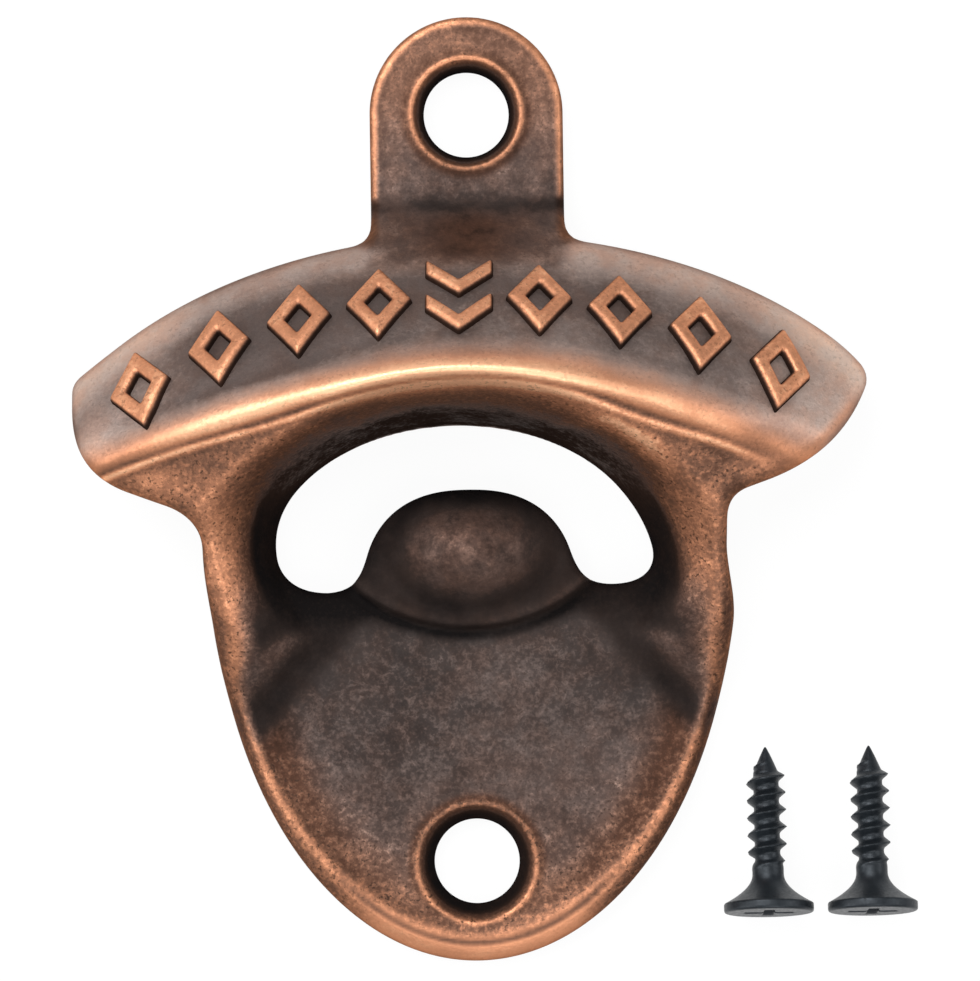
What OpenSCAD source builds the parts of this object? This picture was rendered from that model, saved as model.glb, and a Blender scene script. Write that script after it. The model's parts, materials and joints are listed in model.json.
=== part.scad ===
// Wall-mounted bottle opener: a one-piece hood casting and the two wood screws that come with it.
// The casting lies on its back. The wall face is z = 0, +Z points out of the wall and +Y up the wall.
// The origin is on the wall face, midway between the two screw holes. All sizes are in millimetres.

/* [Fixing holes] */
// Distance between the two screw holes
hole_pitch = 65; // [62:0.5:70]
// Diameter of a screw hole
hole_d = 7.4; // [5:0.1:7.6]
// Diameter of the countersink where it meets the front face
sink_d = 10.4; // [9:0.1:12]
// Depth of the countersink below the front face
sink_depth = 1.3; // [0.8:0.1:2]

/* [Tab] */
// Width of the fixing tab, whose round end is centred on the upper hole
tab_w = 16.8; // [15:0.1:20]
// Thickness of the tab
tab_t = 3.2; // [2.4:0.1:4.5]

/* [Hood] */
// Distance from the upper hole down to the middle of the ellipses that shape the hood
hood_drop = 38.5; // [37:0.1:40]
// Half-width of the ellipse that the top edge of the visor follows
visor_a = 41.3; // [38:0.1:46]
// Rise of the top edge of the visor above the middle of the ellipses
visor_b = 27.9; // [26:0.1:29]
// Width of the visor across its ends
visor_w = 69; // [62:0.2:74]
// Height of the top edge of the visor above the wall
visor_edge_h = 6.5; // [5:0.1:8]
// Height of the ridge of the hood above the wall
ridge_h = 19; // [17:0.1:22]
// Rise of the ridge above the middle of the ellipses
ridge_rise = 16; // [14.5:0.1:17.5]
// How far the front below the ridge falls back from the middle to the ends of the visor
ridge_fall = 4.3; // [2:0.1:5]
// Height above the middle of the ellipses from which the front falls back in full
fall_rise = 9; // [7:0.1:11]
// Distance below the middle of the ellipses where the fall has faded out
fall_drop = 2; // [0:0.1:4]
// Thickness of the hood's walls
wall = 3; // [2:0.1:3.6]

/* [Visor ends] */
// Radius of the lower corner of each end
end_r = 7; // [4:0.1:8]
// Height of the straight end above that corner
end_h = 1.4; // [0.8:0.1:4]
// Slope of the lower edge that runs from the corner back to the body
end_slope = 25; // [20:1:36]
// Radius of the hollow where the lower edge meets the body
notch_r = 2.6; // [2:0.1:6]

/* [Lower plate] */
// Width of the body
body_w = 45.6; // [43:0.2:50]
// Thickness of the plate
plate_t = 3.2; // [2.4:0.1:4.5]
// Metal left below the centre of the lower hole
foot = 8.6; // [8:0.1:12]
// Width of the raised rim
rim_w = 1.6; // [1:0.1:2.4]
// Height of the rim above the plate
rim_h = 0.6; // [0.3:0.1:1.2]
// Distance from the middle of the ellipses down to where the front of the posts runs out
post_run = 13; // [11:0.1:15]

/* [Cap pocket] */
// Width of the crescent opening at the wall
pocket_w = 32.8; // [30:0.1:34]
// Rise of the crescent opening above the middle of the ellipses
pocket_rise = 11.4; // [10:0.1:12]
// Rise of the pocket's wall for each millimetre outward at the sides
side_lean = 1.8; // [1.4:0.1:3]
// Rise of the pocket's wall for each millimetre outward at the top
top_lean = 4.5; // [3.5:0.1:6]
// Height over which the pocket's wall rolls into the front of the hood
pocket_roll = 6.5; // [3:0.1:8]
// Distance from the middle of the ellipses down to the plate's edge below the opening
sill_drop = 3; // [2:0.1:4]
// Distance from the middle line to the upper end of the crease between the plate and a post
crease_x = 10.9; // [9:0.1:12]
// Distance from the middle of the ellipses down to that end
crease_drop = 4.2; // [3.5:0.1:5]
// Angle at which the crease runs down towards the rim
crease_angle = 48; // [42:1:54]
// Angle at which a post's foot rises from the crease
foot_angle = 54; // [45:1:65]

/* [Tongue] */
// Width of the tongue at its root
tongue_w = 19.2; // [16:0.1:22]
// Rise of the tongue's tip above the middle of the ellipses
tongue_rise = 5.9; // [4.5:0.1:7]
// Distance from the middle of the ellipses down to the lowest point of the tongue's root
tongue_drop = 6.6; // [5.5:0.1:8]
// Height of the tongue above the wall
tongue_h = 8.4; // [7:0.1:10]
// Height of the tongue's brim above the plate
brim_h = 1.2; // [0.8:0.1:2]
// Width of the dome on the brim
dome_w = 16; // [13:0.1:18]
// Length of the dome up the wall
dome_l = 11.2; // [9:0.1:12]
// Rise of the middle of the dome above the middle of the ellipses
dome_rise = 0.7; // [0:0.1:1.5]

/* [Raised marks] */
// Lozenges on each side of the middle arrows
mark_count = 4; // [2:1:4]
// Distance from one mark to the next
mark_pitch = 6.8; // [6.4:0.1:7]
// Distance of the middle mark from the middle line
mark_shift = -0.8; // [-1.2:0.1:0]
// Distance from the top edge of the visor down to the middle of the marks
mark_drop = 5.8; // [5:0.1:6.5]
// Share of the top edge's slope that the marks turn with
mark_turn = 0.6; // [0:0.05:1]
// Height of a mark along the sloping face
mark_l = 8.6; // [6:0.1:9.2]
// Width of a mark
mark_w = 5.8; // [4:0.1:6]
// Width of the stroke that draws a mark
mark_stroke = 1.5; // [0.8:0.1:1.6]
// Height of a mark above the face
mark_h = 0.8; // [0.4:0.1:1.2]
// Rise of an arrow's arms along the sloping face
arrow_rise = 4.7; // [4:0.1:5]
// Width of an arrow's stroke along the sloping face
arrow_stroke = 2; // [1:0.1:2.4]

/* [Screws] */
// Overall length of a screw
screw_l = 14.6; // [14:0.1:20]
// Diameter of the head
head_d = 7.8; // [7.6:0.1:8.4]
// Thickness of the head's straight rim
head_rim = 0.8; // [0.5:0.1:1.2]
// Length of the flare from the rim to the neck
flare_l = 2.6; // [2.2:0.1:3.6]
// Diameter of the smooth neck below the head
neck_d = 2.7; // [2.5:0.1:3.1]
// Length of the smooth neck
neck_l = 0.9; // [0.6:0.1:3]
// Outer diameter of the thread
thread_d = 3.5; // [3.2:0.1:4.2]
// Diameter of the core between the thread's turns
core_d = 2.2; // [1.8:0.1:2.4]
// Distance from one turn of the thread to the next
thread_pitch = 1.5; // [1.3:0.1:2]
// Length of the cone at the point
tip_l = 2.4; // [2:0.1:3.5]
// Width across the cross recess
recess_w = 4.4; // [3:0.1:5]
// Width of one slot of the recess
recess_slot = 0.9; // [0.6:0.1:1.2]
// Depth of the recess
recess_depth = 1.7; // [1:0.1:2.2]
// Gap between the widest part of the body and the axis of the nearer screw
screw_clear = 2.4; // [2:0.1:6]
// Distance between the two screws' axes
screw_gap = 9; // [8.8:0.1:14]
// Distance of the screws' heads above the lowest point of the plate
screw_up = 4; // [1:0.1:8]

/* [Hidden] */

// Straight steps that follow a half ellipse
arc_steps = 48;
// Steps of the front below the ridge, across and where its fall fades out
front_steps = 24;
fade_steps = 4;
// Steps of the pocket's wall around and upward, and of the dome
pocket_sides = 64;
pocket_rings = 7;
dome_sides = 32;
dome_rings = 8;
dome_power = 1.5;
// Sides, rings in a turn and sharpness of the thread, and blunt share left at the screw's point
thread_sides = 20;
rings_per_turn = 8;
crest_power = 1.6;
point_share = 0.02;
// Steps and curve of the flare under the screw's head
flare_steps = 8;
flare_power = 2;
// Overlap that keeps joined and cut faces from lying on each other
eps = 0.5;

hole_y = hole_pitch / 2;
hood_y = hole_y - hood_drop;
plate_b = hood_y + hole_y + foot;
// The band rises by band_k for each whole step of the ellipse, from the visor's edge to the ridge
ridge_share = ridge_rise / visor_b;
band_k = (ridge_h - visor_edge_h) / (1 - ridge_share);
base_share = 1 + visor_edge_h / band_k;
// Thickness of a wall along Z where the band and the posts slope
band_drop = wall * sqrt(1 + pow(band_k / visor_b, 2));
post_slope = (ridge_h - plate_t) / (ridge_rise + post_run);
post_drop = wall * sqrt(1 + post_slope * post_slope);
// The roll takes this much off the front where it is deepest
roll_drop = pocket_roll / 4;
top_z = ridge_h + eps;

ridge_y = hood_y + ridge_rise;
fade_from = hood_y + fall_rise;
fade_to = hood_y - fall_drop;
post_end = hood_y - post_run;

tongue_y = hood_y - sill_drop;
dome_y = hood_y + dome_rise;
brim_z = plate_t + brim_h;

// A screw lies on the rim of its head and on the last full turn of its thread
neck_end = head_rim + flare_l + neck_l;
thread_end = screw_l - tip_l;
lie_angle = atan((head_d - thread_d) / 2 / (thread_end - head_rim));
lie_z = head_rim * sin(lie_angle) + head_d / 2 * cos(lie_angle);
screw_x = body_w / 2 + screw_clear;
screw_y = hood_y - plate_b + screw_up;

casting_colour = [0.48, 0.31, 0.24];
screw_colour = [0.13, 0.15, 0.17];

function arc(centre, a, b, from, to, steps) = [
    for (i = [0 : steps])
        let (t = from + (to - from) * i / steps)
        centre + [a * cos(t), b * sin(t)]
];

// Height of the sloping face of the band above the wall
function band_z(x, y) = visor_edge_h + (1 - norm([x / visor_a, (y - hood_y) / visor_b])) * band_k;

// Height of the front below the ridge, which falls back towards the ends of the visor
function front_z(x, y) =
    let (fade = min(1, max(0, (y - fade_to) / (fade_from - fade_to))))
    ridge_h + (y - ridge_y) * post_slope - ridge_fall * pow(2 * x / visor_w, 2) * fade;

// The lesser of a and b, rounded where they come within k of each other
function rolled_min(a, b, k) =
    let (share = min(1, max(0, 0.5 + (b - a) / (2 * k))))
    b + (a - b) * share - k * share * (1 - share);

function mirrored(points) = [for (i = [len(points) - 1 : -1 : 0]) [-points[i][0], points[i][1]]];

// Right half of the outline without the tab, from the top of the visor round to the foot,
// moved inward by inset
function outline_side(inset) =
    let (
        half = body_w / 2 - inset,
        a = visor_a - inset,
        b = visor_b - inset,
        edge_x = visor_w / 2 - inset,
        corner_r = max(end_r - inset, eps),
        hollow_r = notch_r + inset,
        normal = [sin(end_slope), -cos(end_slope)],
        edge_y = visor_b * sqrt(1 - pow(visor_w / 2 / visor_a, 2)),
        corner = [edge_x - corner_r, hood_y + edge_y - end_h],
        hollow_x = half + hollow_r,
        rise = (corner_r + hollow_r - (hollow_x - corner[0]) * normal[0]) / normal[1],
        hollow = [hollow_x, corner[1] + rise],
        foot_b = plate_b - inset,
        foot_from = min(0, asin((hollow[1] - hood_y) / foot_b))
    )
    concat(
        arc([0, hood_y], a, b, 90, acos(edge_x / a), arc_steps / 2),
        arc(corner, corner_r, corner_r, 0, end_slope - 90, arc_steps / 8),
        arc(hollow, hollow_r, hollow_r, 90 + end_slope, 180, arc_steps / 8),
        arc([0, hood_y], half, foot_b, foot_from - 180 / arc_steps, -90, arc_steps / 2)
    );

module outline(inset) {
    side = outline_side(inset);
    polygon(concat(side, mirrored(side)));
}

module tab_plan() {
    translate([0, hole_y])
        circle(d = tab_w, $fn = 64);
    translate([-tab_w / 2, hood_y])
        square([tab_w, hole_y - hood_y]);
}

// Solid under the sloping face of the band: a cone on an ellipse, lowered by drop
module band_cone(drop) {
    top_share = 1 - (top_z - visor_edge_h) / band_k;
    translate([0, hood_y, -drop])
        linear_extrude(height = top_z, scale = top_share / base_share)
            polygon(arc([0, 0], visor_a * base_share, visor_b * base_share,
                        0, 360 - 180 / arc_steps, 2 * arc_steps - 1));
}

// Solid under the front of the ridge and the posts, lowered by drop
module front_slope(drop) {
    fade_ys = [for (i = [0 : fade_steps]) fade_to + (fade_from - fade_to) * i / fade_steps];
    ys = concat([post_end], fade_ys, [hole_y]);
    rows = len(ys);
    last = front_steps;
    points = [
        for (i = [0 : front_steps])
            for (y = ys)
                let (x = visor_a * (2 * i / front_steps - 1))
                for (z = [front_z(x, y) - drop, -top_z])
                    [x, y, z]
    ];
    function at(i, j, side) = (i * rows + j) * 2 + side;
    covers = [
        for (i = [0 : front_steps - 1])
            for (j = [0 : rows - 2])
                for (face = [
                    [at(i, j, 0), at(i, j + 1, 0), at(i + 1, j + 1, 0)],
                    [at(i, j, 0), at(i + 1, j + 1, 0), at(i + 1, j, 0)],
                    [at(i, j, 1), at(i + 1, j + 1, 1), at(i, j + 1, 1)],
                    [at(i, j, 1), at(i + 1, j, 1), at(i + 1, j + 1, 1)]
                ])
                    face
    ];
    ends = [
        for (j = [0 : rows - 2])
            for (face = [
                [at(0, j, 0), at(0, j, 1), at(0, j + 1, 1), at(0, j + 1, 0)],
                [at(last, j, 0), at(last, j + 1, 0), at(last, j + 1, 1), at(last, j, 1)]
            ])
                face
    ];
    sides = [
        for (i = [0 : front_steps - 1])
            for (face = [
                [at(i, 0, 0), at(i + 1, 0, 0), at(i + 1, 0, 1), at(i, 0, 1)],
                [at(i, rows - 1, 0), at(i, rows - 1, 1), at(i + 1, rows - 1, 1), at(i + 1, rows - 1, 0)]
            ])
                face
    ];
    polyhedron(points, concat(covers, ends, sides));
}

// Point of the pocket's wall at angle t, at a share of the way from the opening out to the front of the hood
function pocket_point(t, share) =
    let (
        a = pocket_w / 2,
        b = pocket_rise,
        out = [cos(t) / a, sin(t) / b] / norm([cos(t) / a, sin(t) / b]),
        foot = [a * cos(t), hood_y + b * sin(t)],
        lean = side_lean + (top_lean - side_lean) * pow(max(0, sin(t)), 2),
        reach = (front_z(foot[0], foot[1]) + pocket_roll - plate_t) / lean,
        away = max(reach, 2 * eps) * share,
        place = foot + away * out,
        front = max(plate_t, min(front_z(place[0], place[1]), band_z(place[0], place[1])))
    )
    [place[0], place[1],
     share < 1 ? max(plate_t, rolled_min(front, plate_t + lean * away, pocket_roll)) : front + eps / 2];

// Cap pocket, whose wall leans outward and rolls into the front of the hood
module pocket() {
    rings = concat(
        [for (i = [0 : pocket_rings])
            [for (j = [0 : pocket_sides - 1]) pocket_point(360 * j / pocket_sides, i / pocket_rings)]],
        [[for (j = [0 : pocket_sides - 1])
            let (edge = pocket_point(360 * j / pocket_sides, 1))
            [edge[0], edge[1], top_z]]]
    );
    capped_rings(rings, [0, hood_y, plate_t], [0, hood_y, top_z]);
}

// Solid whose side passes through rings of points, closed at each end round a middle point
module capped_rings(rings, first_middle, last_middle) {
    count = len(rings[0]);
    last = len(rings) - 1;
    points = concat([for (ring = rings) for (point = ring) point], [first_middle, last_middle]);
    function at(i, j) = i * count + j % count;
    sides = [
        for (i = [0 : last - 1])
            for (j = [0 : count - 1])
                for (face = [
                    [at(i, j), at(i + 1, j), at(i, j + 1)],
                    [at(i, j + 1), at(i + 1, j), at(i + 1, j + 1)]
                ])
                    face
    ];
    ends = [
        for (j = [0 : count - 1])
            for (face = [
                [at(0, j), at(0, j + 1), len(points) - 2],
                [at(last, j + 1), at(last, j), len(points) - 1]
            ])
                face
    ];
    polyhedron(points, concat(sides, ends));
}

// Metal that is kept round the pocket, behind its wall
module pocket_shell() {
    a = pocket_w / 2 + wall;
    b = pocket_rise + wall;
    depth = top_z - plate_t;
    for (z = [plate_t, -eps])
        translate([0, hood_y, z])
            linear_extrude(height = depth, scale = [1 + depth / side_lean / a, 1 + depth / top_lean / b])
                polygon(arc([0, 0], a, b, 0, 360 - 180 / arc_steps, 2 * arc_steps - 1));
}

// Cuts the front down to the plate between the posts, and leaves each post a sloping foot
module post_feet() {
    far = body_w;
    depth = top_z - plate_t;
    for (side = [0, 1])
        mirror([side, 0, 0])
            intersection() {
                translate([crease_x, hood_y - crease_drop, plate_t])
                    rotate([90, 0, 90 - crease_angle])
                        linear_extrude(height = 2 * far, center = true)
                            polygon([[-far, 0], [0, 0], [depth / tan(foot_angle), depth], [-far, depth]]);
                translate([-eps, hood_y - far, plate_t])
                    cube([far, far - 2 * eps, depth]);
            }
}

// Crescent opening through the back, above the plate's edge and round the tongue
module crescent() {
    sill_angle = asin(sill_drop / pocket_rise);
    translate([0, 0, -eps])
        linear_extrude(height = plate_t + 2 * eps)
            difference() {
                polygon(arc([0, hood_y], pocket_w / 2, pocket_rise,
                            -sill_angle, 180 + sill_angle, arc_steps));
                tongue_plan();
            }
}

// Hollow behind the visor, open to the wall
module rear_hollow() {
    difference() {
        intersection() {
            translate([0, 0, -eps])
                linear_extrude(height = top_z)
                    intersection() {
                        outline(wall);
                        translate([-visor_a, hood_y])
                            square([2 * visor_a, visor_b]);
                    }
            band_cone(band_drop);
            front_slope(post_drop + roll_drop);
        }
        pocket_shell();
    }
}

module hood() {
    difference() {
        intersection() {
            linear_extrude(height = top_z) {
                outline(0);
                tab_plan();
            }
            band_cone(0);
            front_slope(0);
        }
        pocket();
        post_feet();
        rear_hollow();
    }
}

module plate() {
    linear_extrude(height = plate_t)
        polygon(arc([0, hood_y], body_w / 2, plate_b, 0, -180, arc_steps));
    linear_extrude(height = plate_t + rim_h)
        intersection() {
            difference() {
                outline(0);
                outline(rim_w);
            }
            translate([-body_w, hood_y - 2 * plate_b])
                square([2 * body_w, 2 * plate_b - post_run]);
        }
}

module tongue_plan() {
    polygon(concat(
        arc([0, tongue_y], tongue_w / 2, tongue_rise + sill_drop, 0, 180, arc_steps / 2),
        arc([0, tongue_y], tongue_w / 2, tongue_drop - sill_drop, 180, 360, arc_steps / 2)
    ));
}

// Dome that swells out of the brim
module dome() {
    rings = concat(
        [[for (j = [0 : dome_sides - 1])
            let (t = 360 * j / dome_sides)
            [dome_w / 2 * cos(t), dome_y + dome_l / 2 * sin(t), plate_t]]],
        [for (i = [0 : dome_rings - 1])
            [for (j = [0 : dome_sides - 1])
                let (
                    t = 360 * j / dome_sides,
                    share = 1 - i / dome_rings,
                    height = (tongue_h - brim_z) * pow(1 - share * share, dome_power)
                )
                [dome_w / 2 * share * cos(t), dome_y + dome_l / 2 * share * sin(t), brim_z + height]]]
    );
    capped_rings(rings, [0, dome_y, plate_t], [0, dome_y, tongue_h]);
}

module tongue() {
    linear_extrude(height = brim_z)
        tongue_plan();
    intersection() {
        linear_extrude(height = tongue_h + eps)
            tongue_plan();
        dome();
    }
}

// Hollow lozenge drawn with a stroke
module lozenge() {
    function lozenge_points(w, l) = [[w / 2, 0], [0, l / 2], [-w / 2, 0], [0, -l / 2]];
    inner = 1 - mark_stroke * sqrt(1 / (mark_w * mark_w) + 1 / (mark_l * mark_l)) * 2;
    difference() {
        polygon(lozenge_points(mark_w, mark_l));
        polygon(lozenge_points(mark_w * inner, mark_l * inner));
    }
}

// Two arrows, one under the other, that point towards the pocket
module arrows() {
    arm_low = arrow_rise - arrow_stroke;
    for (y = [0, -mark_l / 2])
        translate([0, y])
            polygon([
                [0, 0], [mark_w / 2, arm_low], [mark_w / 2, arrow_rise],
                [0, arrow_stroke], [-mark_w / 2, arrow_rise], [-mark_w / 2, arm_low]
            ]);
}

// Places a flat mark on the band, so many pitches from the middle one, raised by mark_h
module on_band(pitches) {
    x = mark_shift + pitches * mark_pitch;
    edge = sqrt(1 - pow(x / visor_a, 2));
    y = visor_b * edge - mark_drop;
    share = norm([x / visor_a, y / visor_b]);
    slope = band_k / share * [x / visor_a / visor_a, y / visor_b / visor_b];
    row = [1, -mark_turn * visor_b * x / (visor_a * visor_a * edge)];
    along = [row[0], row[1], -slope * row];
    out = [slope[0], slope[1], 1] / norm([slope[0], slope[1], 1]);
    right = along / norm(along);
    up = cross(out, right);
    multmatrix([
        [right[0], up[0], out[0], x],
        [right[1], up[1], out[1], hood_y + y],
        [right[2], up[2], out[2], band_z(x, hood_y + y)]
    ])
        translate([0, 0, -mark_h])
            linear_extrude(height = 2 * mark_h)
                children();
}

module raised_marks() {
    on_band(0)
        arrows();
    for (side = [-1, 1])
        for (i = [1 : mark_count])
            on_band(side * i)
                lozenge();
}

module screw_hole(y, thickness) {
    translate([0, y, -eps])
        cylinder(h = thickness + 2 * eps, d = hole_d, $fn = 64);
    translate([0, y, thickness - sink_depth])
        cylinder(h = sink_depth, d1 = hole_d, d2 = sink_d, $fn = 64);
}

module opener_body() {
    color(casting_colour)
        difference() {
            union() {
                linear_extrude(height = tab_t)
                    difference() {
                        tab_plan();
                        outline(wall);
                    }
                hood();
                plate();
                tongue();
                raised_marks();
            }
            crescent();
            screw_hole(hole_y, tab_t);
            screw_hole(-hole_y, plate_t);
        }
}

// Radius of the threaded shank at a length from the head and an angle around the axis
function thread_r(length, angle) =
    let (
        turn = length / thread_pitch - angle / 360,
        crest = pow((1 + cos(360 * turn)) / 2, crest_power),
        start = min(1, max(0, (length - neck_end) / thread_pitch)),
        taper = min(1, max(point_share, (screw_l - length) / tip_l))
    )
    taper * (core_d / 2 + (thread_d - core_d) / 2 * crest * start);

module shank() {
    from = neck_end - eps;
    rings = ceil((screw_l - from) / thread_pitch * rings_per_turn);
    points = [
        for (i = [0 : rings])
            for (j = [0 : thread_sides - 1])
                let (
                    length = from + (screw_l - from) * i / rings,
                    angle = 360 * j / thread_sides,
                    r = thread_r(length, angle)
                )
                [r * cos(angle), r * sin(angle), length]
    ];
    function at(i, j) = i * thread_sides + j % thread_sides;
    sides = [
        for (i = [0 : rings - 1])
            for (j = [0 : thread_sides - 1])
                for (face = [
                    [at(i, j), at(i + 1, j), at(i, j + 1)],
                    [at(i, j + 1), at(i + 1, j), at(i + 1, j + 1)]
                ])
                    face
    ];
    ends = [
        [for (j = [0 : thread_sides - 1]) at(0, j)],
        [for (j = [thread_sides - 1 : -1 : 0]) at(rings, j)]
    ];
    polyhedron(points, concat(sides, ends));
}

module screw() {
    flare = [
        for (i = [0 : flare_steps])
            let (t = i / flare_steps)
            [neck_d / 2 + (head_d - neck_d) / 2 * pow(1 - t, flare_power), head_rim + flare_l * t]
    ];
    difference() {
        union() {
            rotate_extrude($fn = 48)
                polygon(concat([[0, 0], [head_d / 2, 0]], flare, [[neck_d / 2, neck_end], [0, neck_end]]));
            shank();
        }
        for (turn = [0, 90])
            rotate([0, 0, turn])
                translate([-recess_w / 2, -recess_slot / 2, -eps])
                    cube([recess_w, recess_slot, recess_depth + eps]);
    }
}

module lying_screw(x) {
    color(screw_colour)
        translate([x, screw_y, lie_z])
            rotate([-90 - lie_angle, 0, 0])
                screw();
}

module screw_left() {
    lying_screw(screw_x);
}

module screw_right() {
    lying_screw(screw_x + screw_gap);
}

opener_body();
screw_left();
screw_right();
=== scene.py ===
"""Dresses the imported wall-mounted bottle opener: a casting with a copper finish and two black screws.

The casting is the space between a front and a rear height map, inside an outline. It is worked out as a
distance field on a grid, so that every edge and corner has a cast radius, and then meshed. Sizes are in
millimetres and become metres when a mesh is made.
"""
import json
import math

import bpy
import numpy as np
from mathutils import Matrix, Vector


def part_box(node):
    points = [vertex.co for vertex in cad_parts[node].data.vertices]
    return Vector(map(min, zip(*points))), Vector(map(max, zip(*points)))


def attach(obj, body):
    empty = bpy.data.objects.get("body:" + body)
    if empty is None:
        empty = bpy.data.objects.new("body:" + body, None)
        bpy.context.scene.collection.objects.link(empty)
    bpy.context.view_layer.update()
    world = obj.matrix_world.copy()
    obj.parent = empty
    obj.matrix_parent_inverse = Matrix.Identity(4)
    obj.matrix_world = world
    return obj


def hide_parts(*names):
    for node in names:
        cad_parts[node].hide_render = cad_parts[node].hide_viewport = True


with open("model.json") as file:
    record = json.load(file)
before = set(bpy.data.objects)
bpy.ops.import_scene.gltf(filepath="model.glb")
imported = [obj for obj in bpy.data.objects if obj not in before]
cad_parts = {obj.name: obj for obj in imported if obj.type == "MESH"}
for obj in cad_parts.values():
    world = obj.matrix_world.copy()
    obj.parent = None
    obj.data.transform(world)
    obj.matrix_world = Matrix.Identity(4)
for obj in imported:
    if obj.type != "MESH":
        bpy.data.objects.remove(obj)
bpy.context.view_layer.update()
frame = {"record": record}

MM = 0.001

# View of the photograph: its size in pixels, the part's origin in it, millimetres to a pixel, and its roll
PHOTO_W = 980
PHOTO_H = 981
PHOTO_ORIGIN = (471.65, 487.95)
PHOTO_SCALE = 0.0870
PHOTO_ROLL = math.radians(0.85)
CAMERA_DISTANCE = 450.0
SENSOR_W = 36.0

# Sizes that the frame gives
screws_mount = next(m for m in frame["record"]["mounts"] if m["name"] == "wall_screws")
HOLE_Y = screws_mount["dims"]["spacing_y_mm"] / 2
HOLE_R = screws_mount["dims"]["hole_r_mm"]
body_low, body_high = [[c / MM for c in corner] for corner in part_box("opener_body")]
RIDGE_H = body_high[2]
VISOR_HALF = body_high[0]
TAB_R = body_high[1] - HOLE_Y
FOOT_Y = body_low[1]

# Plate and posts, with the plate's rim, the groove inside the rim and the fine line at its foot
PLATE_T = 3.2
BODY_HALF = 22.8
BODY_TOP = 6.0
POST_INSET = 0.3
RIM_IN = 1.5
RIM_H = 0.55
RIM_W = 0.95
RIM_SPAN = (-17.0, -11.0)
RIM_SIDE = 0.8
RIM_FOOT_EXTRA = 0.5
RIM_FOOT_SPAN = (-39.0, -24.0)
RIM_GROOVE_IN = 1.3
RIM_GROOVE_D = 0.06
RIM_GROOVE_W = 0.35
FOOT_LINE_IN = 1.7
FOOT_LINE_D = 0.08
FOOT_LINE_W = 0.26
FOOT_LINE_SPAN_X = (10.0, 15.0)
FOOT_LINE_SPAN_Y = (-36.0, -31.0)

# Countersunk screw holes with their lips, and the hollow behind the hood
SINK_R = 5.2
TAB_SINK_R = 4.8
SINK_IN = 0.35
SINK_DEPTH = 1.6
LIP_H = 0.25
LIP_W = 0.3
WALL = 3.0
HOLLOW_GRADE = 6.0

# Hood: all its curves share the middle MIDDLE_Y
MIDDLE_Y = -6.0
VISOR_A = 41.3
VISOR_B = 27.9
VISOR_EDGE_H = 6.5
RIDGE_RISE = 16.0
RIDGE_BEND = 0.4625
RIDGE_FLAT = 8.0
RIDGE_FALL = 0.00364
RIDGE_FALL_SPAN = (-8.0, 3.0)
POST_RUN = 13.0

# Ends of the visor: how they lean on each side and from where, and the slope of the underside
END_LEAN_LEFT = math.radians(4)
END_LEAN_RIGHT = math.radians(26)
END_LEAN_Y = 9.0
UNDER_SLOPE = math.radians(20)
UNDER_X = 27.4
UNDER_Y = 0.2

# Bead along the ridge, the groove and the finer bead below it, and the cove above it
BEAD_H = 0.36
BEAD_W = 0.9
BEAD_END_LEFT = 33.0
BEAD_END_RIGHT = 27.5
BEAD_FADE = 5.0
GROOVE_D = 0.16
GROOVE_W = 0.34
GROOVE_BELOW = 0.70
GROOVE_SAG = 0.5
GROOVE_SAG_X = 16.0
GROOVE_SAG_W = 6.0
UNDER_BEAD_H = 0.15
UNDER_BEAD_W = 0.36
UNDER_BEAD_OFF = 0.42
COVE_D = 0.45
COVE_UP = 3.0
COVE_W = 1.6

# Towards the hood's ends the bead and groove grow wider and the groove loses a share of its depth
FAR_SPAN = (14.0, 26.0)
FAR_BEAD_W = 0.4
FAR_GROOVE_W = 0.1
FAR_GROOVE_LOSS = 0.4

# Mismatch of this casting: sideways shifts of its forms, and the spans up the wall where they come in
TOP_SHIFT = 0.45
FOOT_SHIFT = -2.45
POCKET_SHIFT = -1.25
POST_SHIFT = -0.65
HOOD_LEAN_SPAN = (-1.0, 13.0)
HOOD_SHIFT_SPAN = (-9.0, -1.0)
POCKET_SHIFT_SPAN = (-12.0, 0.0)
POST_SHIFT_SPAN = (-12.0, -5.0)

# Pocket, crescent opening and the creased feet of the posts
POCKET_HALF = 16.4
POCKET_RISE = 11.4
LEAN_SIDE = 1.8
LEAN_TOP = 4.5
SILL_Y = -8.75
SILL_TILT = 0.018
CREASE_X = 10.9
CREASE_Y = -10.2
CREASE_TURN = math.radians(48.3)
RAMP_SLOPE = 1.4
RAMP_LIFT = 2.5
RAMP_LIFT_Y = -7.0

# Tongue: a dome on a brim that ends in an arc, with a bead along the arc and a groove outside it
TONGUE_MIDDLE = -0.3
TONGUE_HALF = 9.3
TONGUE_TOP = -0.14
TONGUE_ROOT = -9.5
TONGUE_POWER = 2.4
TONGUE_SPAN = (-0.3, 1.0)
BRIM_R = 16.0
BRIM_Y = 3.6
BRIM_H = 1.2
BRIM_RISE = (-0.1, 0.6)
BRIM_SPAN = (12.5, 13.5)
BRIM_BEAD_H = 0.2
BRIM_BEAD_IN = 0.9
BRIM_BEAD_W = 0.55
BRIM_GROOVE_D = 0.3
BRIM_GROOVE_OUT = 0.4
BRIM_GROOVE_W = 0.4
DOME_A = 8.0
DOME_B = 5.6
DOME_Y = -5.3
DOME_H = 4.0
DOME_POWER = 1.5

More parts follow.
